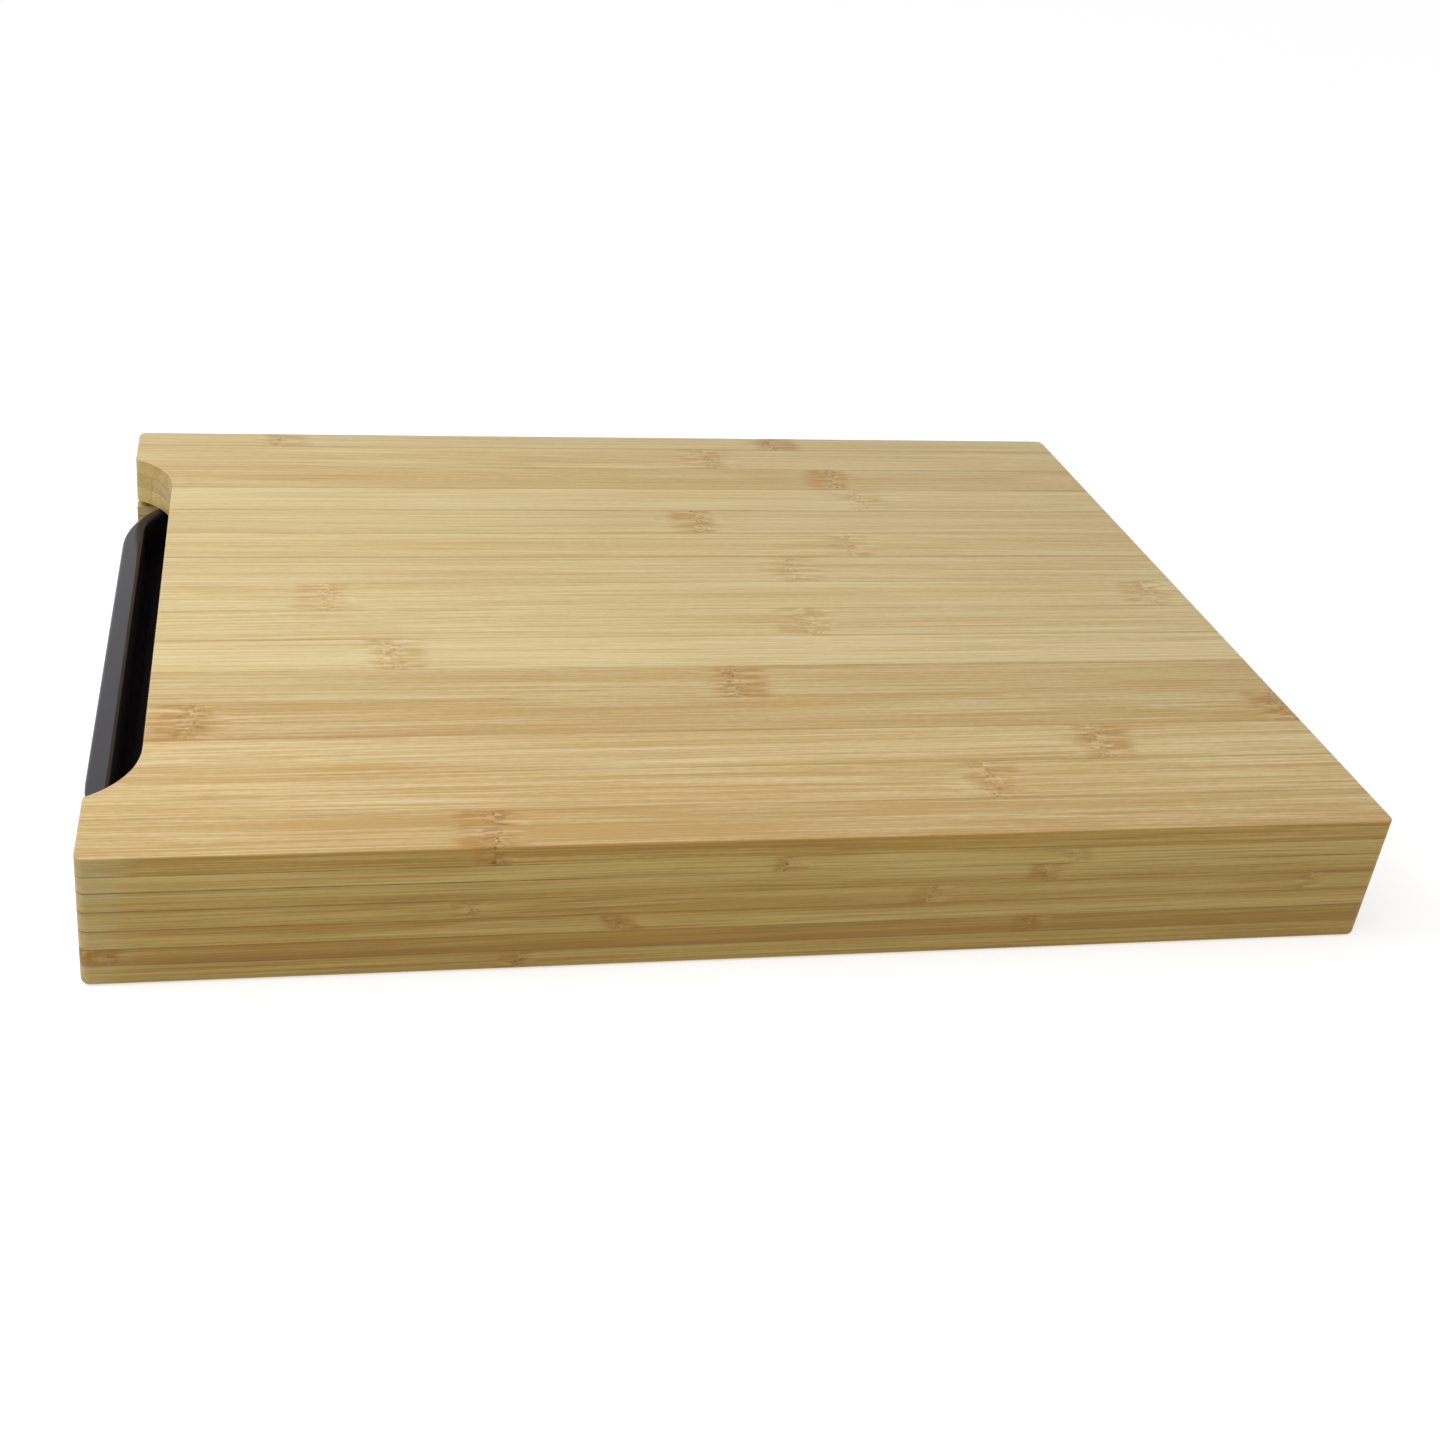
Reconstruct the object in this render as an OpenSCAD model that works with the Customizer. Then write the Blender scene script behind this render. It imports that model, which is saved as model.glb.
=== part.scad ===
// Laminated bamboo chopping board with a sliding tray underneath.
// A three-ply panel lies on two side rails and an end rail, each of four plies. The tray hangs by
// its rim in a groove along the side rails, and a notch in the panel's left end uncovers it.
// X runs along the grain, the front long side is at -Y, and the origin is at the board's bottom
// centre, on the surface that it stands on.

/* [Board] */
// Length of the board, along the grain
board_l = 400; // [340:1:480]
// Width of the board, across the strips
board_w = 283.5; // [250:0.5:340]
// Radius of the four upright corners
corner_r = 3; // [2.5:0.5:8]
// Radius that eases the board's top edges, and the notch's
top_edge_r = 0.6; // [0.3:0.1:2.25]
// Radius that eases the board's bottom edges
foot_edge_r = 1.5; // [0.5:0.25:2.25]

/* [Panel plies] */
// Thickness of the face ply, which is cut on
face_ply_t = 6.3; // [4:0.1:9]
// Thickness of the core ply
core_ply_t = 5.7; // [3:0.1:9]
// Thickness of the under ply
under_ply_t = 6.6; // [3:0.1:9]

/* [Bamboo strips] */
// Width of one full strip
strip_w = 19.5; // [15:0.5:30]
// Width that is left of the first strip, along the front side
first_strip_w = 17.5; // [10:0.5:25]
// How far the core ply's joints lie behind the face ply's
core_shift = 1.5; // [0:0.5:6]
// How far the under ply's joints lie behind the face ply's
under_shift = 2; // [0:0.5:6]

/* [Rails] */
// Thickness of the rails' first ply, right under the panel
rail_ply_1_t = 6.9; // [5:0.1:9]
// Thickness of the rails' second ply
rail_ply_2_t = 6.5; // [5:0.1:9]
// Thickness of the rails' third ply
rail_ply_3_t = 6.1; // [5:0.1:9]
// Thickness of the rails' fourth ply, which the board stands on
rail_ply_4_t = 7.4; // [5:0.1:9]
// Width of the front rail and of the back rail
side_rail_w = 26; // [18:0.5:40]
// Width of the end rail, which closes the tray's bay
end_rail_w = 27; // [18:0.5:50]

/* [Groove] */
// Height of the groove for the tray's rim, at the top of each side rail
groove_h = 3; // [2.6:0.1:4]
// Depth of the groove into each side rail
groove_d = 9; // [5:0.5:12]

/* [Notch] */
// How far the notch reaches in from the board's end
notch_d = 15.5; // [8:0.5:19.5]
// Length of the notch's straight inner edge
notch_flat = 178.5; // [100:0.5:200]
// Radius of the notch's two inner corners
notch_r = 28; // [20:0.5:32]
// Radius of the two lips, where the notch meets the end
lip_r = 3; // [2.5:0.5:6]
// How far the middle of the notch lies behind the board's centre line
notch_shift = 1.5; // [-6:0.5:6]

/* [Tray] */
// Thickness of the tray's walls and floor
tray_wall = 2; // [1.2:0.1:3]
// Thickness of the tray's rim
rim_t = 2.2; // [1.6:0.1:2.3]
// How far the rim stands out past the board's end
rim_reach = 3.2; // [0:0.1:8]
// Width of the rim outside the walls, at the tray's two ends
rim_end_w = 6.1; // [4:0.1:10]
// Radius of the rim's corners, seen from above
rim_corner_r = 45; // [40:0.5:60]
// Radius of the walls' upright corners
pan_corner_r = 22; // [14:0.5:30]
// Radius between the walls and the floor, outside
pan_floor_r = 8; // [4:0.5:12]
// Radius where the rim turns down into the tray
rim_turn_r = 2.8; // [1:0.1:4]

/* [Clearances] */
// Gap between the tray's wall and a side rail
pan_side_gap = 1.5; // [0.5:0.1:3]
// Gap between the rim's edge and the bottom of its groove
rim_side_gap = 1; // [0.3:0.1:2]
// Gap between the rim and the groove's floor, which carries it
rim_rest_gap = 0.2; // [0.1:0.05:0.3]
// Gap between the rim and the end rail, with the tray pushed in
rim_back_gap = 0.5; // [0.3:0.1:2]
// Gap between the tray's floor and the surface that the board stands on
tray_floor_gap = 2; // [1:0.5:6]

/* [Hidden] */
$fn = 96;
// Lets a cut run past the face that it leaves through
cut = 1;

// Heights, from the surface that the board stands on
rail_ply_ts = [rail_ply_1_t, rail_ply_2_t, rail_ply_3_t, rail_ply_4_t];
rail_plies = len(rail_ply_ts);
rail_h = rail_ply_1_t + rail_ply_2_t + rail_ply_3_t + rail_ply_4_t;
core_z = rail_h + under_ply_t;
face_z = core_z + core_ply_t;
board_h = face_z + face_ply_t;
groove_z = rail_h - groove_h;
rim_z = groove_z + rim_rest_gap;
rim_top = rim_z + rim_t;

// What the edges are eased by: at the board's top, and at its bottom
edge_rs = [top_edge_r, foot_edge_r];

// Places in plan
half_l = board_l / 2;
half_w = board_w / 2;
bay_half_w = half_w - side_rail_w;
bay_end_x = half_l - end_rail_w;
rim_x0 = -half_l - rim_reach;
rim_x1 = bay_end_x - rim_back_gap;
rim_l = rim_x1 - rim_x0;
rim_w = 2 * (bay_half_w + groove_d - rim_side_gap);
pan_l = rim_l - 2 * rim_end_w;
pan_w = 2 * (bay_half_w - pan_side_gap);
tray_x = (rim_x0 + rim_x1) / 2;

// Each ply of the panel has as many strips as its width holds: the last one takes the rest
strips = 1 + round((board_w - first_strip_w - max(core_shift, under_shift)) / strip_w);

// The notch: arc_x and arc_y are the centre of a corner's arc, lip_y that of a lip's,
// and lip_a is the angle that each of them turns through
arc_x = notch_d - notch_r;
arc_y = notch_flat / 2;
lip_a = acos((lip_r - arc_x) / (notch_r + lip_r));
lip_y = arc_y + (notch_r + lip_r) * sin(lip_a);
// How far the notch reaches to each side of its middle, lips and easing included
notch_half_w = max(lip_y, arc_y + sqrt(pow(notch_r + top_edge_r, 2) - pow(arc_x, 2)));

bamboo = [0.85, 0.75, 0.53];
bamboo_dark = [0.72, 0.6, 0.38];
bamboo_side = [0.65, 0.56, 0.36];
black_plastic = [0.06, 0.06, 0.065];

function two_digits(i) = str(i < 10 ? "0" : "", i);
function strip_names(ply) = [for (i = [1:strips]) str(ply, "_strip_", two_digits(i))];
function rail_names(rail) = [for (k = [1:rail_plies]) str(rail, "_rail_ply_", k)];

face_names = strip_names("face");
core_names = strip_names("core");
under_names = strip_names("under");
front_names = rail_names("front");
back_names = rail_names("back");
end_names = rail_names("end");

// Where joint i of a ply lies: joint 0 is the front side and the last one is the back side
function joint_y(i, shift) =
    i == 0 ? -half_w : i == strips ? half_w : -half_w + first_strip_w + shift + (i - 1) * strip_w;

// The underside of rail ply k, counted from the top
function rail_ply_z(k) = k == 0 ? rail_h : rail_ply_z(k - 1) - rail_ply_ts[k - 1];

// ---------- Shapes that several pieces share ----------

// The sliver between a square edge, which lies at x, and its easing by r. The board's top is at
// its own height, and side says which way the wood lies: 1 for +X and -1 for -X.
module easing_profile(x, side, r) {
    centre_x = x + side * r;
    difference() {
        translate([min(x, centre_x), board_h - r])
            square([r, r + cut]);
        translate([centre_x, board_h - r])
            circle(r);
    }
}

// What rounds the board's two upright corners along the front side, over the height of a ply
module front_corner_cuts(z0, t) {
    for (end = [0, 1])
        mirror([end, 0, 0])
            translate([corner_r - half_l, corner_r - half_w, z0 - cut])
                linear_extrude(t + 2 * cut)
                    difference() {
                        translate([-corner_r - cut, -corner_r - cut])
                            square(corner_r + cut);
                        circle(corner_r);
                    }
}

// What eases the top edge along the front side by r, round both of its corners
module front_edge_cuts(r) {
    translate([corner_r - half_l, -half_w, 0])
        rotate([90, 0, 90])
            linear_extrude(board_l - 2 * corner_r)
                easing_profile(0, 1, r);
    for (end = [0, 1])
        mirror([end, 0, 0])
            translate([corner_r - half_l, corner_r - half_w, 0])
                rotate([0, 0, 180])
                    rotate_extrude(angle = 90)
                        easing_profile(corner_r, -1, r);
}

// What eases the top edge at both ends of the board by r, between y0 and y1
module end_edge_cuts(y0, y1, r) {
    y_from = max(y0, corner_r - half_w);
    y_to = min(y1, half_w - corner_r);
    for (end = [0, 1])
        mirror([end, 0, 0])
            translate([-half_l, y_to, 0])
                rotate([90, 0, 0])
                    linear_extrude(y_to - y_from)
                        easing_profile(0, 1, r);
}

// A box out of the board. Where it lies on the board's outside, its upright corners are rounded
// and its top and bottom edges are eased.
module board_piece(x0, x1, y0, y1, z0, t) {
    difference() {
        translate([x0, y0, z0])
            cube([x1 - x0, y1 - y0, t]);
        for (side = [0, 1])
            if (side == 0 ? y0 <= -half_w : y1 >= half_w)
                mirror([0, side, 0])
                    front_corner_cuts(z0, t);
        for (under = [0, 1])
            if (under == 0 ? z0 + t > board_h - top_edge_r : z0 < foot_edge_r)
                translate([0, 0, under * board_h])
                    mirror([0, 0, under]) {
                        end_edge_cuts(y0, y1, edge_rs[under]);
                        for (side = [0, 1])
                            if (side == 0 ? y0 <= -half_w : y1 >= half_w)
                                mirror([0, side, 0])
                                    front_edge_cuts(edge_rs[under]);
                    }
    }
}

// ---------- The notch ----------

// One corner of the notch in plan, from the end of its straight edge to its lip. The board's end
// is at x = 0 and the middle of the notch at y = 0.
module notch_corner_plan() {
    translate([arc_x, arc_y])
        circle(notch_r);
    difference() {
        polygon([
            [-cut, arc_y],
            [0, arc_y],
            [lip_r - lip_r * cos(lip_a), lip_y - lip_r * sin(lip_a)],
            [lip_r, lip_y],
            [-cut, lip_y]
        ]);
        translate([lip_r, lip_y])
            circle(lip_r);
    }
}

// One corner of the notch: its upright walls, and what eases the top edge round its arc. That
// easing runs on until it leaves the board's end, past the lip.
module notch_corner(eased) {
    translate([0, 0, rail_h - cut])
        linear_extrude(board_h - rail_h + 2 * cut)
            notch_corner_plan();
    if (eased)
        translate([arc_x, arc_y, 0])
            rotate_extrude(angle = 90)
                easing_profile(notch_r, 1, top_edge_r);
}

// The straight part of the notch, with what eases its top edge
module notch_middle(eased) {
    translate([-cut, -arc_y, rail_h - cut])
        cube([notch_d + cut, notch_flat, board_h - rail_h + 2 * cut]);
    if (eased)
        translate([notch_d, arc_y, 0])
            rotate([90, 0, 0])
                linear_extrude(notch_flat)
                    easing_profile(0, 1, top_edge_r);
}

// What the notch takes out of a strip that lies between y0 and y1
module notch(y0, y1, eased) {
    near = y0 - notch_shift;
    far = y1 - notch_shift;
    translate([-half_l, notch_shift, 0]) {
        if (near < arc_y && far > -arc_y)
            notch_middle(eased);
        if (near < notch_half_w && far > arc_y)
            notch_corner(eased);
        if (near < -arc_y && far > -notch_half_w)
            mirror([0, 1, 0])
                notch_corner(eased);
    }
}

// ---------- The panel's strips ----------

// Strip i of a ply, counted from the front
module panel_strip(i, shift, z, t) {
    y0 = joint_y(i - 1, shift);
    y1 = joint_y(i, shift);
    difference() {
        board_piece(-half_l, half_l, y0, y1, z, t);
        notch(y0, y1, z + t > board_h - top_edge_r);
    }
}

module face_strip(i) {
    color(bamboo)
        panel_strip(i, 0, face_z, face_ply_t);
}

module core_strip(i) {
    color(bamboo_dark)
        panel_strip(i, core_shift, core_z, core_ply_t);
}

module under_strip(i) {
    color(bamboo)
        panel_strip(i, under_shift, rail_h, under_ply_t);
}

// ---------- The rails' plies ----------

// Ply k of the rail along the front side. The first one has the tray's groove along its top.
module front_rail_ply(k) {
    color(bamboo_side)
        difference() {
            board_piece(-half_l, half_l, -half_w, -bay_half_w, rail_ply_z(k), rail_ply_ts[k - 1]);
            if (k == 1)
                translate([-half_l - cut, -bay_half_w - groove_d, groove_z])
                    cube([board_l - end_rail_w + cut, groove_d + cut, groove_h + cut]);
        }
}

// The back rail is the front one's mirror image
module back_rail_ply(k) {
    mirror([0, 1, 0])
        front_rail_ply(k);
}

// Ply k of the rail across the right end, between the two others
module end_rail_ply(k) {
    color(bamboo_side)
        board_piece(bay_end_x, half_l, -bay_half_w, bay_half_w, rail_ply_z(k), rail_ply_ts[k - 1]);
}

// ---------- The tray ----------

// Runs an upright profile round a rounded rectangle. The profile's x is measured outwards from
// the centre of a corner, so its outline lies at x = r.
module run_round(l, w, r) {
    for (corner = [[1, 1, 0], [-1, 1, 90], [-1, -1, 180], [1, -1, 270]])
        translate([corner[0] * (l / 2 - r), corner[1] * (w / 2 - r), 0])
            rotate([0, 0, corner[2]])
                rotate_extrude(angle = 90)
                    children();
    for (side = [0, 180])
        rotate([0, 0, side]) {
            translate([l / 2 - r, w / 2 - r, 0])
                rotate([90, 0, 0])
                    linear_extrude(w - 2 * r)
                        children();
            translate([r - l / 2, w / 2 - r, 0])
                rotate([90, 0, 90])
                    linear_extrude(l - 2 * r)
                        children();
        }
}

// A slab whose outline is a rounded rectangle and whose edge has the profile that is given
module slab(l, w, r, h) {
    run_round(l, w, r)
        children();
    translate([r - l / 2, r - w / 2, 0])
        cube([l - 2 * r, w - 2 * r, h]);
}

// Profile with a full round along its outer edge
module round_edge(r, h) {
    square([r - h / 2, h]);
    translate([r - h / 2, h / 2])
        circle(h / 2);
}

// Profile with its lower outer corner rounded
module round_bottom(r, h, bottom_r) {
    square([r - bottom_r, h]);
    translate([0, bottom_r])
        square([r, h - bottom_r]);
    translate([r - bottom_r, bottom_r])
        circle(bottom_r);
}

// The hollow of the tray, with the turned-down edge of the rim at its top
module tray_hollow() {
    l = pan_l - 2 * tray_wall;
    w = pan_w - 2 * tray_wall;
    r = pan_corner_r - tray_wall;
    h = rim_top - tray_floor_gap - tray_wall;
    translate([tray_x, 0, tray_floor_gap + tray_wall]) {
        slab(l, w, r, h + cut)
            round_bottom(r, h + cut, pan_floor_r - tray_wall);
        run_round(l, w, r)
            difference() {
                translate([r, h - rim_turn_r])
                    square([rim_turn_r, rim_turn_r + cut]);
                translate([r + rim_turn_r, h - rim_turn_r])
                    circle(rim_turn_r);
            }
    }
}

module tray() {
    pan_h = rim_z + rim_t / 2 - tray_floor_gap;
    color(black_plastic)
        difference() {
            union() {
                translate([tray_x, 0, rim_z])
                    slab(rim_l, rim_w, rim_corner_r, rim_t)
                        round_edge(rim_corner_r, rim_t);
                translate([tray_x, 0, tray_floor_gap])
                    slab(pan_l, pan_w, pan_corner_r, pan_h)
                        round_bottom(pan_corner_r, pan_h, pan_floor_r);
            }
            tray_hollow();
        }
}

// ---------- The parts ----------

for (i = [1:strips]) {
    face_strip(i);
    core_strip(i);
    under_strip(i);
}

for (k = [1:rail_plies]) {
    front_rail_ply(k);
    back_rail_ply(k);
    end_rail_ply(k);
}

tray();
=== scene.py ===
import math

import bpy
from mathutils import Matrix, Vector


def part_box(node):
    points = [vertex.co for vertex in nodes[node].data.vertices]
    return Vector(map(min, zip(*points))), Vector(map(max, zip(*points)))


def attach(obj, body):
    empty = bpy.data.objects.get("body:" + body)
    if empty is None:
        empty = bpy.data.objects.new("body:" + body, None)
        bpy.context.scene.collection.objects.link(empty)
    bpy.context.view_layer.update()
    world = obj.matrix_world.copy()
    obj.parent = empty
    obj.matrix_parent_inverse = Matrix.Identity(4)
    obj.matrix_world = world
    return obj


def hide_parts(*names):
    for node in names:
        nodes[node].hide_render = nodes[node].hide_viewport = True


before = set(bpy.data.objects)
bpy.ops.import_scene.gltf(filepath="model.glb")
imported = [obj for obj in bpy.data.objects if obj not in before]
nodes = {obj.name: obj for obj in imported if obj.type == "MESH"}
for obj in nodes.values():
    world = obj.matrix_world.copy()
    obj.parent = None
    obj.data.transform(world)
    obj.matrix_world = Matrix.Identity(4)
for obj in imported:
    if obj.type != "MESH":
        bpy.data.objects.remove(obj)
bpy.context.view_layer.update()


# ---------- Side rails: four plies each ----------
# Under each long side lies a rail glued up from four flat-pressed bamboo plies, 26 mm wide. The
# first ply has the tray's groove sawn along its top. Sanded flush with the panel and lightly oiled.

MM = 0.001


class Field:
    """A number, colour or place that varies over a surface: a node's output, with arithmetic."""

    def __init__(self, tree, socket):
        self.tree = tree
        self.socket = socket

    def __add__(self, other):
        return calc("ADD", self, other)

    def __sub__(self, other):
        return calc("SUBTRACT", self, other)

    def __mul__(self, other):
        return calc("MULTIPLY", self, other)

    def step(self, low, high, low_out=0.0, high_out=1.0):
        """A soft step: low_out below low, high_out above high."""
        inputs = dict(enumerate((self, low, high, low_out, high_out)))
        return add_node(self.tree, "ShaderNodeMapRange", inputs, interpolation_type="SMOOTHSTEP")

    def fade(self, near, far):
        """1 where the number is below near, 0 where it is above far."""
        return self.step(near, far, 1.0, 0.0)


def feed(socket, value):
    """Links a field to a socket, or sets the socket to a plain value."""
    if isinstance(value, Field):
        value.tree.links.new(value.socket, socket)
    else:
        socket.default_value = value


def add_node(tree, kind, inputs, output=0, **settings):
    """Adds a node, feeds its inputs and gives one of its outputs as a field."""
    node = tree.nodes.new(kind)
    for name, value in settings.items():
        setattr(node, name, value)
    for socket, value in inputs.items():
        feed(node.inputs[socket], value)
    return Field(tree, node.outputs[output])


def calc(operation, *values, clamp=False):
    """Arithmetic on fields and plain numbers."""
    tree = next(value.tree for value in values if isinstance(value, Field))
    inputs = dict(enumerate(values))
    return add_node(tree, "ShaderNodeMath", inputs, operation=operation, use_clamp=clamp)


def stretched(place, along, across):
    """The place, counted in lumps: so many a metre along the grain and across it."""
    inputs = {0: place, 1: (along, across, across)}
    return add_node(place.tree, "ShaderNodeVectorMath", inputs, operation="MULTIPLY")


def noise(place, along, across, detail=2.0, roughness=0.5):
    """Cloudy noise around 0.5."""
    inputs = {"Vector": stretched(place, along, across), "Scale": 1.0}
    inputs.update({"Detail": detail, "Roughness": roughness, "Distortion": 0.0})
    return add_node(place.tree, "ShaderNodeTexNoise", inputs)


def specks(place, along, across, inner, outer):
    """Round specks, or long fibres where along is small: 1 inside them, 0 between them."""
    inputs = {"Vector": stretched(place, along, across), "Scale": 1.0}
    return add_node(place.tree, "ShaderNodeTexVoronoi", inputs).fade(inner, outer)


def mix(share, first, second, how="MIX"):
    """The first colour, with a share of the second over it."""
    inputs = {0: share, 6: first, 7: second}
    tree = next(value.tree for value in inputs.values() if isinstance(value, Field))
    return add_node(tree, "ShaderNodeMix", inputs, output=2, data_type="RGBA", blend_type=how)


def along_axes(field):
    """The field's parts along X, Y and Z."""
    parts = range(3)
    return [add_node(field.tree, "ShaderNodeSeparateXYZ", {0: field}, output=part) for part in parts]


def srgb(red, green, blue, share=1.0):
    """A colour as it looks on a screen, 0 to 255, as the shader wants it, darker by a share."""
    shares = [c / 255 for c in (red, green, blue)]
    linear = [s / 12.92 if s <= 0.04045 else ((s + 0.055) / 1.055) ** 2.4 for s in shares]
    return (*[share * c for c in linear], 1.0)


board_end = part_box("face_strip_08")[1].x

# The wood's tones as they look on a screen, 0 to 255
PALE_WOOD = (218, 199, 152)
TAN_WOOD = (192, 157, 98)
CREAM = (233, 214, 166)
FIBRE = (182, 142, 85)
DARK_FIBRE = (150, 108, 60)
STAIN = (180, 134, 68)
CRUMB = (150, 106, 64)
PIT = (124, 84, 46)
GLUE_AND_SHADE = (92, 64, 34)
WASHED = (208, 198, 178)

# What the wood's colour is multiplied by in its rosier and its greener parts, on the narrow
# sides as a painted shade that makes them yellower and darker, and on the sawn ends
ROSY_TINT = (1.005, 0.985, 0.97, 1.0)
GREENISH_TINT = (0.995, 1.01, 0.985, 1.0)
SIDE_SHADE_TINT = (0.99, 0.91, 0.54, 1.0)
END_TINT = (0.93, 0.88, 0.70, 1.0)

# How tan plain wood is, from 0 for pale to 1 for tan, and how much is added to that where a ply's
# fibres are dense and where they are loose
PLAIN_TAN = 0.36
DENSE = 1.0
LOOSE = -0.12

GLUE_LINE = 0.5 * MM
STAINED_EDGE = 1.7 * MM
STAINED_FOOT = 2.6 * MM
# How high the middle of a stained foot lies above its ply's lower joint
FOOT_MIDDLE = 1 * MM
# How wide the dark line of painted shade along the board's bottom edge is, where the eased edge turns
# down
BOTTOM_EDGE_SHADE = 0.7 * MM
# Lines narrower than this, the glue joints and the painted shade along the bottom edge, are as dark as
# glue, and wider ones are stains
WIDEST_DARK_LINE = 0.8 * MM

# How far aside a piece's pattern lies for each 1 of its seed, in metres, and how many metres aside
# its fibres drift in a metre
SEED_STEP = 0.37
DRIFT = 0.007
# How far the fibres wander, how far they are moved past a knuckle and bend beside it, and how
# ragged its line is
WANDER = 3 * MM
MOVED = 31 * MM
BEND = 4 * MM
RAGGED = 5 * MM
# How far from a knuckle's line its parts reach: where each begins to fade, and where it is gone
BEND_REACH = (2 * MM, 16 * MM)
WISPS_REACH = (4 * MM, 17 * MM)
STAIN_REACH = (5.5 * MM, 12 * MM)
CORE_REACH = (3 * MM, 5.5 * MM)
PITS_REACH = (1.4 * MM, 2.6 * MM)
# How far the stain's middle lies beside the knuckle's line
STAIN_ASIDE = 2.5 * MM
# The share that distances to a knuckle grow by on the narrow sides, where it is about half as wide
SIDE_NARROWING = 0.9
# From where to where the washed patch fades, from the board's left end, and how ragged it is
WASHED_FROM = 3 * MM
WASHED_TO = 20 * MM
WASHED_RAGGED = 10 * MM


class Surface:
    """A piece's surface: each point's place, and how far it faces a sawn end or a narrow side."""

    def __init__(self, tree):
        self.place = add_node(tree, "ShaderNodeTexCoord", {}, output="Object")
        self.axes = dict(zip("XYZ", along_axes(self.place)))
        normal = add_node(tree, "ShaderNodeNewGeometry", {}, output="Normal")
        to_end, to_side = along_axes(normal)[:2]
        self.on_end = calc("ABSOLUTE", to_end).step(0.35, 0.9)
        self.on_side = calc("ABSOLUTE", to_side).step(0.35, 0.9)
        self.off_face = calc("ADD", self.on_side, self.on_end, clamp=True)


def run_fibres(surface, seed, knuckles, middle, across):
    """Where the fibres run. A knuckle is the joint of the cane: past it they run on at another
    place, and close to it they bend and fan out. Gives each knuckle's distances too."""
    place = surface.place
    axes = surface.axes
    ragged = (noise(place, 90, 420) - 0.5) * RAGGED
    bend = (noise(place, 60, 190, detail=1) - 0.5) * BEND
    wander = (noise(place, 4, 30, detail=1) - 0.5) * WANDER
    drift = DRIFT * math.sin(seed * 7)
    sideways = wander + axes["X"] * drift + seed * SEED_STEP
    marks = []
    for number, (knuckle_x, lean, brown) in enumerate(knuckles, 1):
        past = axes["X"] - (axes[across] - middle) * lean - knuckle_x + ragged
        past = past * (surface.on_side * SIDE_NARROWING + 1.0)
        away = calc("ABSOLUTE", past)
        marks.append((past, away, brown))
        jump = calc("GREATER_THAN", past, 0.0) * (MOVED * number)
        sideways = sideways + jump + bend * away.fade(*BEND_REACH)
    moved = {0: axes["X"] + seed, 1: axes["Y"] + sideways, 2: axes["Z"] + sideways}
    return add_node(place.tree, "ShaderNodeCombineXYZ", moved), marks


def lay_grain(surface, fibres, shade, warmth, figure, skin, thickness):
    """The plain wood between the knuckles. Gives its colour, and its fine lines as a height."""
    cream = srgb(*CREAM, shade)
    fibre = srgb(*FIBRE, shade)
    dark_fibre = srgb(*DARK_FIBRE, shade)

    # Cream and tan parts, finer towards the single fibres
    broad = noise(fibres, 5, 110)
    bands = noise(fibres, 7, 420, detail=1)
    fine = noise(fibres, 8, 1500, detail=2, roughness=0.6)
    flecks = noise(fibres, 260, 1500)
    tan = (broad - 0.5) * 1.0 + (bands - 0.5) * 0.6 + (fine - 0.5) * 2.3 + (flecks - 0.5) * 0.8
    tan = tan * figure + (PLAIN_TAN + warmth)
    if skin:
        low_z, high_z = thickness
        height = (surface.axes["Z"] - low_z) * (1 / (high_z - low_z))
        if skin > 0:
            dense = height.step(0.25, 1.0, LOOSE, DENSE)
        else:
            dense = height.step(0.0, 0.75, DENSE, LOOSE)
        tan = tan + surface.off_face * dense * abs(skin)
    tan = calc("ADD", tan, 0.0, clamp=True)
    colour = mix(tan, srgb(*PALE_WOOD, shade), srgb(*TAN_WOOD, shade))

    # The bundles of fibres as lines, some of them strong and some pale, and fine hairs
    presence = noise(fibres, 14, 200, detail=1).step(0.36, 0.62, 0.10, 1.0)
    bundles = specks(fibres, 2.4, 1000, 0.10, 0.26)
    colour = mix(bundles * presence * (0.60 * figure), colour, fibre)
    strong = specks(fibres, 3.5, 330, 0.04, 0.10)
    colour = mix(strong * presence * (0.50 * figure), colour, dark_fibre)
    pale = specks(fibres, 3.5, 850, 0.10, 0.26)
    colour = mix(pale * (0.40 * figure), colour, cream)
    hairs = specks(fibres, 11, 2000, 0.12, 0.34)
    colour = mix(hairs * (0.48 * figure), colour, srgb(*FIBRE, shade * 0.9))
    hue = noise(fibres, 3.5, 300).step(0.36, 0.64)
    colour = mix(1.0, colour, mix(hue, ROSY_TINT, GREENISH_TINT), "MULTIPLY")

    # On the narrow sides the bundles were cut aslant and show as short dark and pale streaks
    streaks = noise(fibres, 12, 1400, detail=2, roughness=0.6)
    colour = mix(surface.off_face * streaks.step(0.50, 0.64) * 0.32, colour, dark_fibre)
    colour = mix(surface.off_face * streaks.step(0.48, 0.36) * 0.19, colour, cream)
    cut_bundles = specks(fibres, 6, 1100, 0.08, 0.22)
    cut_share = surface.off_face * cut_bundles * presence * 0.50
    return mix(cut_share, colour, srgb(*DARK_FIBRE, shade * 0.9)), fine


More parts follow.
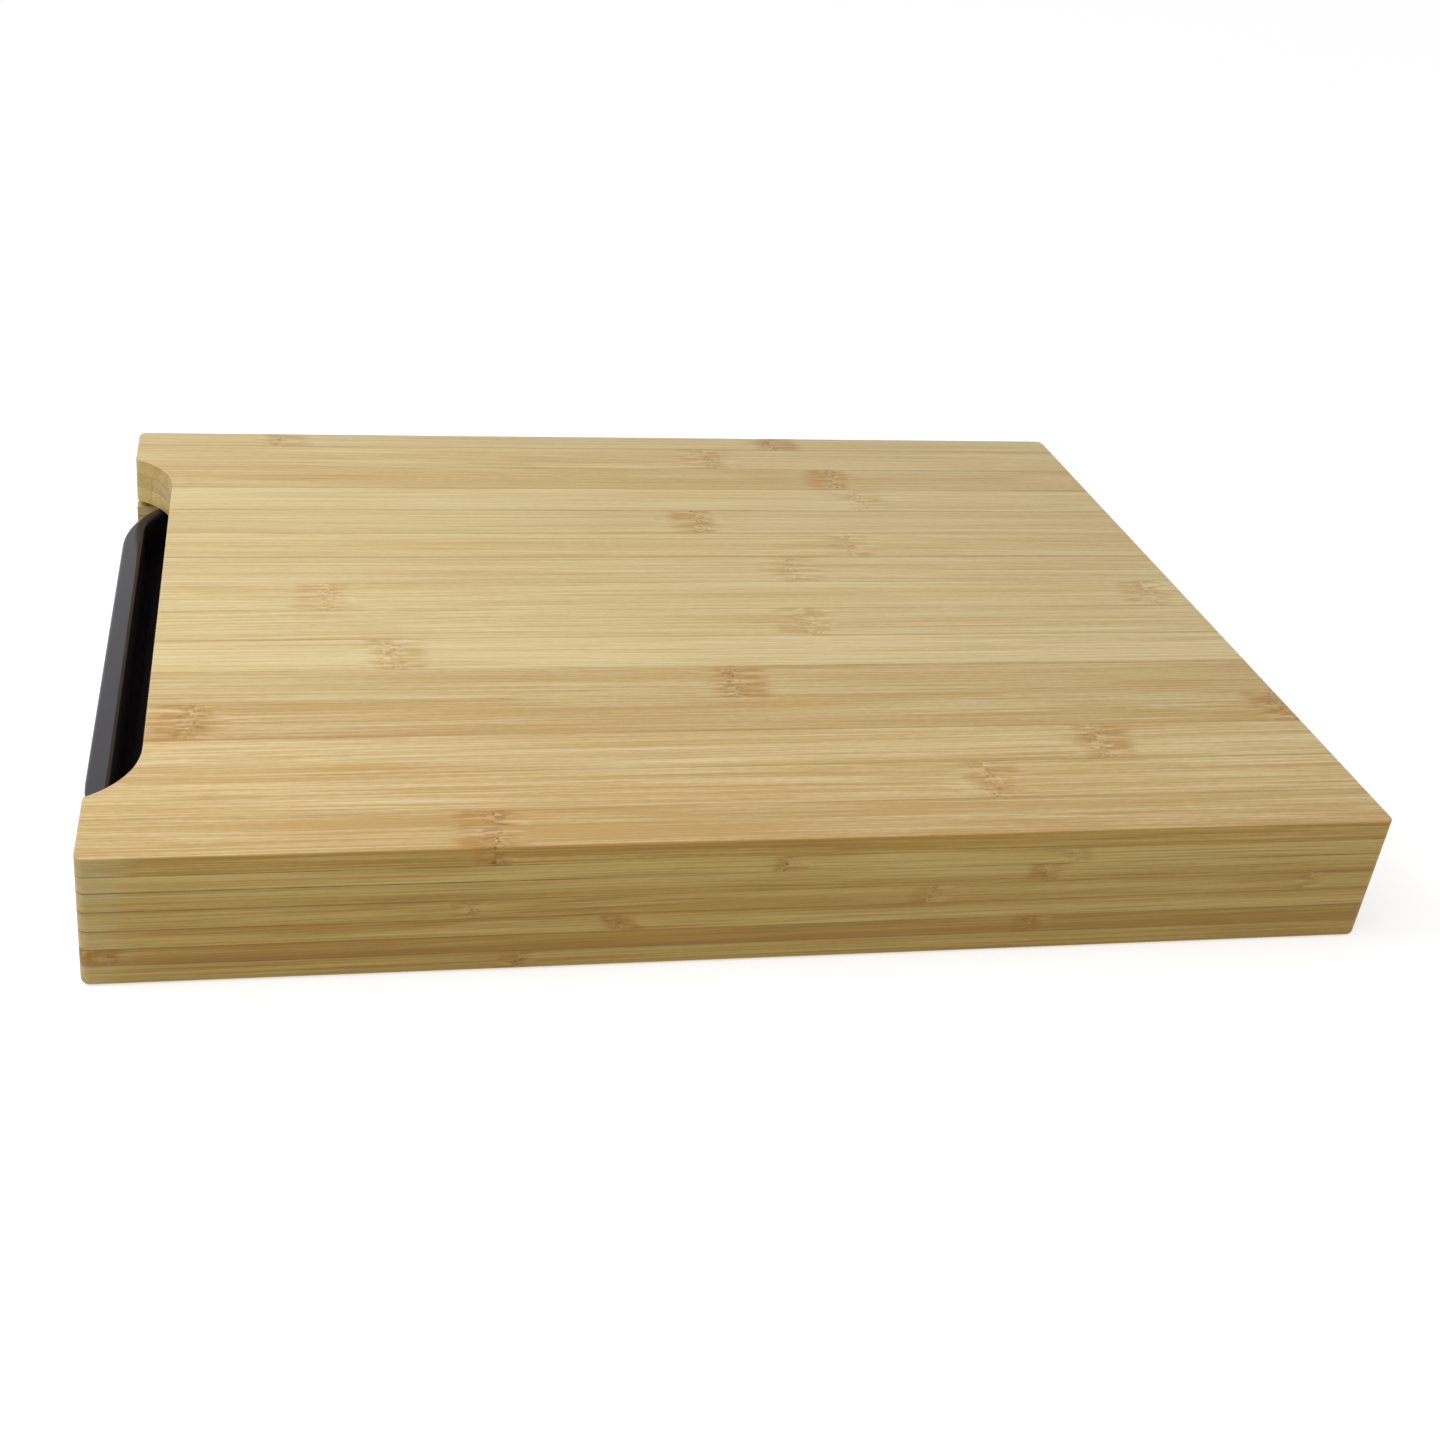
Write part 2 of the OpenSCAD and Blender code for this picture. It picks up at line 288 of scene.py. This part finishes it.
def mark_knuckles(colour, height, surface, fibres, marks, patches, seed, shade):
    """A knuckle: a streaky stain beside it, wisps to both sides, and pale crumbs, brown strokes
    and pits in it. Gives the colour and the height with the knuckles in them."""
    cream = srgb(*CREAM, shade)
    stain_at = math.copysign(STAIN_ASIDE, math.sin(seed * 5))
    wisps = noise(fibres, 34, 560)
    strokes = noise(fibres, 230, 1000, detail=2, roughness=0.6)
    crumbs = noise(surface.place, 420, 720, detail=2, roughness=0.6)
    pits = specks(surface.place, 420, 420, 0.16, 0.30)
    for past, away, brown in marks:
        stain = calc("ABSOLUTE", past + stain_at).fade(*STAIN_REACH) * patches
        colour = mix(stain * (0.06 + 0.84 * brown), colour, srgb(*STAIN, shade))
        around = away.fade(*WISPS_REACH)
        dark_wisps = around * wisps.step(0.52, 0.64) * (0.22 + 0.25 * brown)
        colour = mix(dark_wisps, colour, srgb(*FIBRE, shade * 0.92))
        colour = mix(around * wisps.step(0.46, 0.36) * 0.40, colour, cream)
        core = away.fade(*CORE_REACH)
        pale_crumbs = core * crumbs.step(0.51, 0.62) * (0.38 - 0.18 * brown)
        colour = mix(pale_crumbs, colour, cream)
        brown_strokes = core * strokes.step(0.48, 0.38) * (0.20 + 0.40 * brown)
        colour = mix(brown_strokes, colour, srgb(*CRUMB, shade))
        brown_pits = away.fade(*PITS_REACH) * pits * (0.2 + 0.5 * brown)
        colour = mix(brown_pits, colour, srgb(*PIT, shade))
        height = height + core * crumbs
    return colour, height


def draw_lines(colour, surface, lines, dashes, shade):
    """Glued joints, stained edges and a dark line of painted shade along the bottom edge, strong in
    some places and gone in others.
    """
    coming = noise(surface.place, 9, 60)
    for axis, plane, width, strength in lines:
        thin_dark_line = width < WIDEST_DARK_LINE
        away = calc("ABSOLUTE", surface.axes[axis] - plane + (coming - 0.5) * width * 0.5)
        line = away.fade(0.0, width) * coming.step(0.34, 0.60, 0.40, 1.0)
        line = line * dashes if thin_dark_line else line
        tone = GLUE_AND_SHADE if thin_dark_line else FIBRE
        colour = mix(line * strength, colour, srgb(*tone, shade * 0.94))
    return colour


def bamboo(name, shade, warmth, seed, knuckles, middle, lines, across, figure, skin, thickness):
    """Bamboo of one strip or ply. shade is how light it is, warmth how tan and figure how lined.
    knuckles holds each one's place along X, its lean over the across axis around middle, and how
    brown it is. lines holds glued joints, stained edges and a line of painted shade along the
    bottom edge: axis, place, width and strength. skin is how much denser the fibres get towards the
    ply's upper side, or towards its lower side below 0, over the ply's thickness."""
    material = bpy.data.materials.new(name)
    material.use_nodes = True
    tree = material.node_tree
    surface = Surface(tree)
    fibres, marks = run_fibres(surface, seed, knuckles, middle, across)
    colour, fine = lay_grain(surface, fibres, shade, warmth, figure, skin, thickness)

    # Near the notch the narrow sides are washed pale
    patches = noise(fibres, 30, 420).step(0.32, 0.58)
    dashes = noise(surface.place, 70, 120, detail=3).step(0.36, 0.58, 0.50, 1.0)
    ragged_x = surface.axes["X"] + (patches - 0.5) * WASHED_RAGGED
    washed_out = ragged_x.fade(WASHED_FROM - board_end, WASHED_TO - board_end)
    colour = mix(surface.off_face * washed_out * (dashes * 0.65), colour, srgb(*WASHED))

    colour, height = mark_knuckles(colour, fine, surface, fibres, marks, patches, seed, shade)
    colour = draw_lines(colour, surface, lines, dashes, shade)

    # The narrow sides get a painted shade, yellower and darker, and the sawn ends are browner
    colour = mix(surface.on_side, colour, mix(1.0, colour, SIDE_SHADE_TINT, "MULTIPLY"))
    colour = mix(surface.on_end, colour, mix(1.0, colour, END_TINT, "MULTIPLY"))

    shader = tree.nodes["Principled BSDF"]
    feed(shader.inputs["Base Color"], colour)
    feed(shader.inputs["Roughness"], fine.step(0.3, 0.7, 0.46, 0.60))
    shader.inputs["Specular IOR Level"].default_value = 0.35
    relief = {"Strength": 0.3, "Distance": 0.12 * MM, "Height": height}
    feed(shader.inputs["Normal"], add_node(tree, "ShaderNodeBump", relief))
    return material


SAME_POINT = 0.001 * MM
SHARP_ANGLE = math.radians(25)


def smoothing_nodes():
    """Shades round stretches smoothly and keeps the edges where faces meet at an angle."""
    group = bpy.data.node_groups.new("sanded_smooth", "GeometryNodeTree")
    group.interface.new_socket("Geometry", in_out="INPUT", socket_type="NodeSocketGeometry")
    group.interface.new_socket("Geometry", in_out="OUTPUT", socket_type="NodeSocketGeometry")
    raw = Field(group, group.nodes.new("NodeGroupInput").outputs[0])
    points = {"Geometry": raw, "Distance": SAME_POINT}
    welded = add_node(group, "GeometryNodeMergeByDistance", points)
    faces = {"Geometry": welded, "Shade Smooth": True}
    smooth = add_node(group, "GeometryNodeSetShadeSmooth", faces, domain="FACE")
    sharp = calc("GREATER_THAN", add_node(group, "GeometryNodeInputMeshEdgeAngle", {}), SHARP_ANGLE)
    edges = {"Geometry": smooth, "Selection": sharp, "Shade Smooth": False}
    finished = add_node(group, "GeometryNodeSetShadeSmooth", edges, domain="EDGE")
    feed(group.nodes.new("NodeGroupOutput").inputs[0], finished)
    return group


sanded_smooth = smoothing_nodes()


def dress(node, slot, across="Y", figure=1.0, skin=0.0, **look):
    """Gives a CAD node its bamboo."""
    piece = nodes[node]
    piece.modifiers.new("sanded", "NODES").node_group = sanded_smooth
    piece.modifiers.new("flat_stays_flat", "WEIGHTED_NORMAL").keep_sharp = True
    low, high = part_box(node)
    look.update(across=across, figure=figure, skin=skin, thickness=(low.z, high.z))
    piece.data.materials.clear()
    piece.data.materials.append(bamboo("bamboo_" + node, **look))


def middle_of(node, axis):
    """The middle of a CAD node along one axis, numbered from 0."""
    low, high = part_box(node)
    return (low[axis] + high[axis]) / 2


def knuckles_at(marks):
    """The knuckles' places along X, in metres."""
    return [(mark * MM - board_end, lean, brown) for mark, lean, brown in marks]


# Each ply's knuckles as (mm from the board's left end, lean, how brown), how light and how tan it
# is, where its fibres are dense, and how stained its foot is
front_rail_looks = [
    ([(111, 0.1, 0.3), (252, 0.5, 0.5), (377, 0.2, 0.3)], 0.98, 0.14, -0.2, 0.0),
    ([(154, -0.9, 0.8)], 1.0, 0.07, 0.35, 0.0),
    ([(4, 0.2, 1.3), (8.5, -0.2, 1.2), (286, -0.3, 0.9)], 0.95, 0.60, -0.5, 0.9),
    ([(126, 0.4, 0.6)], 0.96, 0.10, -0.2, 0.0),
]
back_rail_looks = [
    ([(64, 0.3, 0.6), (301, -0.2, 0.5)], 0.95, 0.22, 0.4, 0.0),
    ([(188, 0.4, 0.4)], 0.99, 0.05, -0.3, 0.0),
    ([(97, -0.3, 0.9), (352, 0.2, 0.6)], 0.95, 0.18, 0.5, 0.0),
    ([(243, 0.3, 0.7)], 0.93, 0.28, -0.3, 0.0),
]
BACK_RAIL_SEED = 9.1
# How lined the rails are
RAIL_FIGURE = 0.75

for rail, looks in (("front", front_rail_looks), ("back", back_rail_looks)):
    for number, (marks, shade, warmth, skin, foot) in enumerate(looks, 1):
        node = f"{rail}_rail_ply_{number}"
        low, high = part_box(node)
        lines = [("Z", high.z, GLUE_LINE, 1.0), ("Z", high.z, STAINED_EDGE, 0.6)]
        lines.append(("Z", low.z + FOOT_MIDDLE, STAINED_FOOT, foot))
        # The lowest ply gets a dark line of painted shade along its bottom edge
        if number == len(looks):
            lines.append(("Z", low.z, BOTTOM_EDGE_SHADE, 0.6))
        dress(
            node,
            "bamboo_rail",
            shade=shade,
            warmth=warmth,
            figure=RAIL_FIGURE,
            skin=skin,
            seed=number * 1.7 + (BACK_RAIL_SEED if rail == "back" else 0),
            knuckles=knuckles_at(marks),
            middle=middle_of(node, 2),
            lines=lines,
            across="Z",
        )


# ---------- End rail ----------
# Four short plies between the side rails close the tray's bay at the board's right end, and the
# tray comes to rest against them. The same bamboo as the side rails.

# How light and how tan each ply is
end_rail_looks = [(0.97, 0.20), (0.93, 0.30), (1.0, 0.10), (0.90, 0.36)]

for number, (shade, warmth) in enumerate(end_rail_looks, 1):
    node = f"end_rail_ply_{number}"
    low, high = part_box(node)
    joints = [("Z", high.z), ("Y", low.y), ("Y", high.y)]
    dress(
        node,
        "bamboo_rail",
        shade=shade,
        warmth=warmth,
        seed=20 + number * 2.3,
        knuckles=[],
        middle=middle_of(node, 2),
        lines=[(axis, plane, GLUE_LINE, 0.6) for axis, plane in joints],
        across="Z",
    )


# ---------- Under ply and core ply of the panel ----------
# Fifteen bamboo strips side by side make each ply of the panel, hot-pressed with glue. Of these two
# the sawn ends, the long edges and the notch's wall show and, from below, the under ply's faces.

STRIPS = 15


def strip_lines(node, stained):
    """The strip's glued joints, with its neighbours and with what lies on it, and its stained edge."""
    low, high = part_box(node)
    ply, number = node.split("_strip_")
    lines = []
    if number != "01":
        lines.append(("Y", low.y, GLUE_LINE, 0.4))
        lines.append(("Y", low.y, STAINED_EDGE, stained))
    if number != f"{STRIPS:02d}":
        lines.append(("Y", high.y, GLUE_LINE, 0.4))
    if ply != "face":
        lines.append(("Z", high.z, GLUE_LINE, 1.0 if ply == "under" else 0.8))
    return lines


# The knuckles of the core and under ply's first strips, which show on the front side
front_edge_knuckles = {"core": [(212, 0.8, 0.7), (295, 0.0, 0.3)], "under": [(285, -0.3, 0.6)]}
# How light and how tan: each ply's first strip, which shows along the front, and those behind it
ply_tones = {"core": [(1.04, -0.14), (0.90, 0.22)], "under": [(1.00, -0.04), (1.02, 0.08)]}
ply_skins = {"core": -0.15, "under": -0.45}
INNER_FIGURE = 0.8

for ply, (first_tone, other_tone) in ply_tones.items():
    for number in range(1, STRIPS + 1):
        node = f"{ply}_strip_{number:02d}"
        if number == 1:
            shade, warmth = first_tone
            marks = front_edge_knuckles[ply]
        else:
            # No two strips are alike, so their tones wander and each knuckle lies further on
            shade = other_tone[0] + 0.05 * math.sin(number * 2.4)
            warmth = other_tone[1] + 0.10 * math.sin(number * 1.7 + 1)
            marks = [(30 + (number * 137 + len(ply) * 53) % 340, 0.05, 0.5)]
        dress(
            node,
            "bamboo_" + ply,
            shade=shade,
            warmth=warmth,
            figure=INNER_FIGURE,
            skin=ply_skins[ply],
            seed=40 + number * 1.9 + len(ply),
            knuckles=knuckles_at(marks),
            middle=middle_of(node, 1),
            lines=strip_lines(node, 0.3),
        )


# ---------- Face ply ----------
# The fifteen strips that are cut on, sanded flat with eased edges. Each strip comes from another
# part of the cane, so each has its own tone and its knuckles at its own places.

# From the front: the knuckles, how light, how tan, how stained along the joint in front of it, and
# how lined
face_looks = [
    ([(118, 0.05, 1.0)], 1.04, 0.46, 0.0, 1.2),
    ([(277, 0.0, 0.6)], 1.08, 0.28, 0.3, 1.2),
    ([(322, 0.12, 0.8)], 1.07, 0.16, 0.5, 1.1),
    ([(29, 0.05, 0.9), (398, 0.0, 1.0)], 1.00, 0.42, 0.8, 1.2),
    ([(208, 0.10, 0.9)], 0.985, 0.21, 0.3, 0.9),
    ([(94, -0.08, 0.45)], 1.05, -0.15, 0.1, 0.9),
    ([(245, 0.05, 0.35)], 1.03, -0.05, 0.6, 0.9),
    ([(74, 0.05, 0.35), (386, 0.05, 0.35)], 1.035, -0.02, 0.2, 0.8),
    ([(249, -0.05, 0.35)], 1.01, -0.03, 0.15, 0.85),
    ([(280, 0.10, 0.15)], 1.02, 0.07, 0.7, 0.75),
    ([(222, 0.0, 0.6)], 0.98, -0.03, 0.5, 0.75),
    ([(294, 0.06, 0.2)], 1.00, -0.13, 0.3, 0.7),
    ([(289, 0.05, 0.8)], 0.985, 0.28, 0.35, 0.8),
    ([(239, -0.06, 0.5)], 0.975, 0.04, 0.2, 0.8),
    ([(58, 0.03, 0.6), (271, 0.0, 0.8)], 0.95, -0.03, 0.4, 0.65),
]

for number, (marks, shade, warmth, stained, figure) in enumerate(face_looks, 1):
    node = f"face_strip_{number:02d}"
    dress(
        node,
        "bamboo_face",
        shade=shade,
        warmth=warmth,
        figure=figure,
        skin=0.4,
        seed=number * 2.9,
        knuckles=knuckles_at(marks),
        middle=middle_of(node, 1),
        lines=strip_lines(node, stained),
    )


# ---------- Tray ----------
# One deep tray of glossy black plastic, moulded in one piece. Its flat rim runs in the rails'
# grooves, and rolls over into the walls at the opening.

rim_low, rim_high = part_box("tray")
TRAY_WALL = 2 * MM
RIM_CORNER = 45 * MM
OPENING_CORNER = 22.8 * MM
RIM_END_W = 5.3 * MM
RIM_SIDE_W = 8.7 * MM
# A little under half the wall, so that the rounds above and below the rim's edge don't meet
RIM_EDGE_R = 0.99 * TRAY_WALL / 2
ROLL = 2.8 * MM
FLOOR_ROLL = 6 * MM
DRAFT = 0.3 * MM
CORNER_CUTS = 16
ROLL_CUTS = 6
RIM_EDGE_CUTS = 5
CLOSE = 0.1 * MM

tray_length = rim_high.x - rim_low.x
tray_width = rim_high.y - rim_low.y
tray_centre = (rim_low.x + rim_high.x) / 2
tray_depth = rim_high.z - rim_low.z


def select_only(*pieces):
    """Selects the pieces, with the last one as the active one."""
    bpy.ops.object.select_all(action="DESELECT")
    for piece in pieces:
        piece.select_set(True)
        bpy.context.view_layer.objects.active = piece


def edit(piece):
    """Opens the piece in edit mode with nothing selected."""
    select_only(piece)
    bpy.ops.object.mode_set(mode="EDIT")
    bpy.ops.mesh.select_all(action="DESELECT")


def pick_edges(piece, wanted):
    """In edit mode, selects the edges that are wanted."""
    bpy.ops.mesh.select_mode(type="EDGE")
    bpy.ops.mesh.select_all(action="DESELECT")
    bpy.ops.object.mode_set(mode="OBJECT")
    for edge in piece.data.edges:
        edge.select = wanted(edge)
    bpy.ops.object.mode_set(mode="EDIT")


def rounded_plate(name, length, width, corner, height):
    """A flat sheet with round corners, at the tray's place."""
    bpy.ops.object.select_all(action="DESELECT")
    bpy.ops.mesh.primitive_plane_add(size=1, location=(tray_centre, 0, height))
    plate = bpy.context.object
    plate.name = name
    plate.scale = (length, width, 1)
    bpy.ops.object.transform_apply(location=True, rotation=True, scale=True)
    edit(plate)
    bpy.ops.mesh.select_mode(type="VERT")
    bpy.ops.mesh.select_all(action="SELECT")
    bpy.ops.mesh.bevel(
        offset=corner, offset_type="OFFSET", segments=CORNER_CUTS, affect="VERTICES"
    )
    bpy.ops.object.mode_set(mode="OBJECT")
    return plate


opening_length = tray_length - 2 * RIM_END_W
opening_width = tray_width - 2 * RIM_SIDE_W
tray = rounded_plate("food_tray", opening_length, opening_width, OPENING_CORNER, rim_high.z)

# The sheet is sunk step by step: the roll at the opening, the wall, then the roll into the floor
quarter = [math.pi / 2 * k / ROLL_CUTS for k in range(ROLL_CUTS + 1)]
foot = tray_depth - TRAY_WALL - FLOOR_ROLL
profile = [(ROLL * math.sin(a), ROLL * (1 - math.cos(a))) for a in quarter]
for a in quarter:
    inward = ROLL + DRAFT + FLOOR_ROLL * (1 - math.cos(a))
    profile.append((inward, foot + FLOOR_ROLL * math.sin(a)))
edit(tray)
bpy.ops.mesh.select_mode(type="FACE")
bpy.ops.mesh.select_all(action="SELECT")
for (inward, down), (next_inward, next_down) in zip(profile, profile[1:]):
    bpy.ops.mesh.inset(
        thickness=next_inward - inward, depth=down - next_down, use_even_offset=True
    )
bpy.ops.object.mode_set(mode="OBJECT")

# The rim's outer outline, bridged to the opening
rim = rounded_plate("rim_outline", tray_length, tray_width, RIM_CORNER, rim_high.z)
edit(rim)
bpy.ops.mesh.select_all(action="SELECT")
bpy.ops.mesh.delete(type="ONLY_FACE")
bpy.ops.object.mode_set(mode="OBJECT")
select_only(rim, tray)
bpy.ops.object.join()
use_count = {}
for polygon in tray.data.polygons:
    for key in polygon.edge_keys:
        use_count[key] = use_count.get(key, 0) + 1
edit(tray)
pick_edges(tray, lambda edge: use_count.get(edge.key, 0) < 2)
bpy.ops.mesh.bridge_edge_loops()
bpy.ops.mesh.select_all(action="SELECT")
bpy.ops.mesh.normals_make_consistent(inside=False)
bpy.ops.object.mode_set(mode="OBJECT")
if min(tray.data.polygons, key=lambda polygon: polygon.center.z).normal.z < 0:
    edit(tray)
    bpy.ops.mesh.select_all(action="SELECT")
    bpy.ops.mesh.flip_normals()
    bpy.ops.object.mode_set(mode="OBJECT")

# The sheet gets its thickness
wall = tray.modifiers.new("wall", "SOLIDIFY")
wall.thickness = TRAY_WALL
wall.offset = -1
wall.use_even_offset = True
select_only(tray)
bpy.ops.object.modifier_apply(modifier=wall.name)


def on_rim_outline(co):
    """Whether a point lies on the rim's outer outline."""
    over_x = max(abs(co.x - tray_centre) - (tray_length / 2 - RIM_CORNER), 0)
    over_y = max(abs(co.y) - (tray_width / 2 - RIM_CORNER), 0)
    inside_x = abs(co.x - tray_centre) < tray_length / 2 - CLOSE
    inside_y = abs(co.y) < tray_width / 2 - CLOSE
    if over_x > 0 and over_y > 0:
        return math.hypot(over_x, over_y) > RIM_CORNER - CLOSE
    return not (inside_x and inside_y)


# The rim's outer edge is rounded over, above and below
edit(tray)
points = [vertex.co.copy() for vertex in tray.data.vertices]


def along_the_rim(edge):
    """Whether an edge follows the rim's outer outline."""
    start, end = (points[number] for number in edge.vertices)
    return on_rim_outline(start) and on_rim_outline(end) and abs(start.z - end.z) < CLOSE


pick_edges(tray, along_the_rim)
bpy.ops.mesh.bevel(offset=RIM_EDGE_R, segments=RIM_EDGE_CUTS, affect="EDGES")
bpy.ops.object.mode_set(mode="OBJECT")
bpy.ops.object.shade_smooth_by_angle(angle=math.radians(35))

BLACK = (38, 35, 40)
WORN_BLACK = (45, 42, 48)
DUST = (130, 128, 132)

black_plastic = bpy.data.materials.new("black_plastic")
black_plastic.use_nodes = True
tree = black_plastic.node_tree
shader = tree.nodes["Principled BSDF"]
shader.inputs["IOR"].default_value = 1.5
place = add_node(tree, "ShaderNodeTexCoord", {}, output="Object")
cloud = noise(place, 30, 30, detail=3)
dust = specks(place, 420, 420, 0.03, 0.06)
plastic = mix(cloud, srgb(*BLACK), srgb(*WORN_BLACK))
feed(shader.inputs["Base Color"], mix(dust * 0.3, plastic, srgb(*DUST)))
feed(shader.inputs["Roughness"], cloud.step(0.3, 0.7, 0.09, 0.17))
ripple = {"Strength": 0.08, "Distance": 0.2 * MM, "Height": noise(place, 160, 160, detail=1)}
feed(shader.inputs["Normal"], add_node(tree, "ShaderNodeBump", ripple))

tray.data.materials.clear()
tray.data.materials.append(black_plastic)
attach(tray, "tray")
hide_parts("tray")


# ---------- Studio ----------
# A white floor and a white surround, a broad soft light from above, a small soft lamp above the
# board's left end, and the camera in front of the board's left half, looking down on it.

FLOOR_SIZE = 12
FLOOR_TONE = 0.65
FLOOR_LIFT = 0.6
SKY_LIGHT = 0.39


def seen_directly(tree):
    """1 for what the camera sees directly, mirrored or through glass, 0 for light on things."""
    kinds = ("Is Camera Ray", "Is Glossy Ray", "Is Transmission Ray")
    rays = [add_node(tree, "ShaderNodeLightPath", {}, output=kind) for kind in kinds]
    return calc("MAXIMUM", calc("MAXIMUM", rays[0], rays[1]), rays[2])


bpy.ops.object.select_all(action="DESELECT")
bpy.ops.mesh.primitive_plane_add(size=FLOOR_SIZE, location=(0, 0, 0))
floor = bpy.context.object
floor.name = "floor"
white = bpy.data.materials.new("white_floor")
white.use_nodes = True
tree = white.node_tree
tree.nodes.clear()
paper = add_node(tree, "ShaderNodeBsdfDiffuse", {"Color": (FLOOR_TONE, FLOOR_TONE, FLOOR_TONE, 1)})
lift = add_node(tree, "ShaderNodeEmission", {"Strength": seen_directly(tree) * FLOOR_LIFT})
both = add_node(tree, "ShaderNodeAddShader", {0: paper, 1: lift})
feed(tree.nodes.new("ShaderNodeOutputMaterial").inputs["Surface"], both)
floor.data.materials.append(white)

world = bpy.data.worlds.new("white_surround")
bpy.context.scene.world = world
world.use_nodes = True
tree = world.node_tree
sky = tree.nodes["Background"]
sky.inputs["Color"].default_value = (1, 1, 1, 1)
feed(sky.inputs["Strength"], seen_directly(tree).step(0.0, 1.0, SKY_LIGHT, 1.0))

bpy.ops.object.light_add(type="SUN", rotation=(math.radians(12), math.radians(-18), 0))
sun = bpy.context.object
sun.name = "broad_soft_light"
sun.data.energy = 0.71
sun.data.angle = math.radians(40)

bpy.ops.object.light_add(type="AREA", location=(-0.50, 0.02, 0.60))
lamp = bpy.context.object
lamp.name = "soft_lamp"
lamp.data.shape = "DISK"
lamp.data.size = 0.5
lamp.data.energy = 2.5
lamp.rotation_euler = (math.radians(-5), math.radians(-30), 0)

# The camera was worked out from the board's corners in the photograph: place, turn in degrees,
# lens in mm, and shift as a share of the picture
bpy.ops.object.camera_add(location=(-0.1471, -0.5347, 0.3530))
camera = bpy.context.object
camera.name = "camera"
camera.rotation_euler = [math.radians(angle) for angle in (63.06, -4.32, -8.19)]
camera.data.lens = 43.3
camera.data.sensor_width = 36
camera.data.shift_x = 0.118
camera.data.shift_y = -0.139
bpy.context.scene.camera = camera
bpy.context.scene.view_settings.view_transform = "Standard"

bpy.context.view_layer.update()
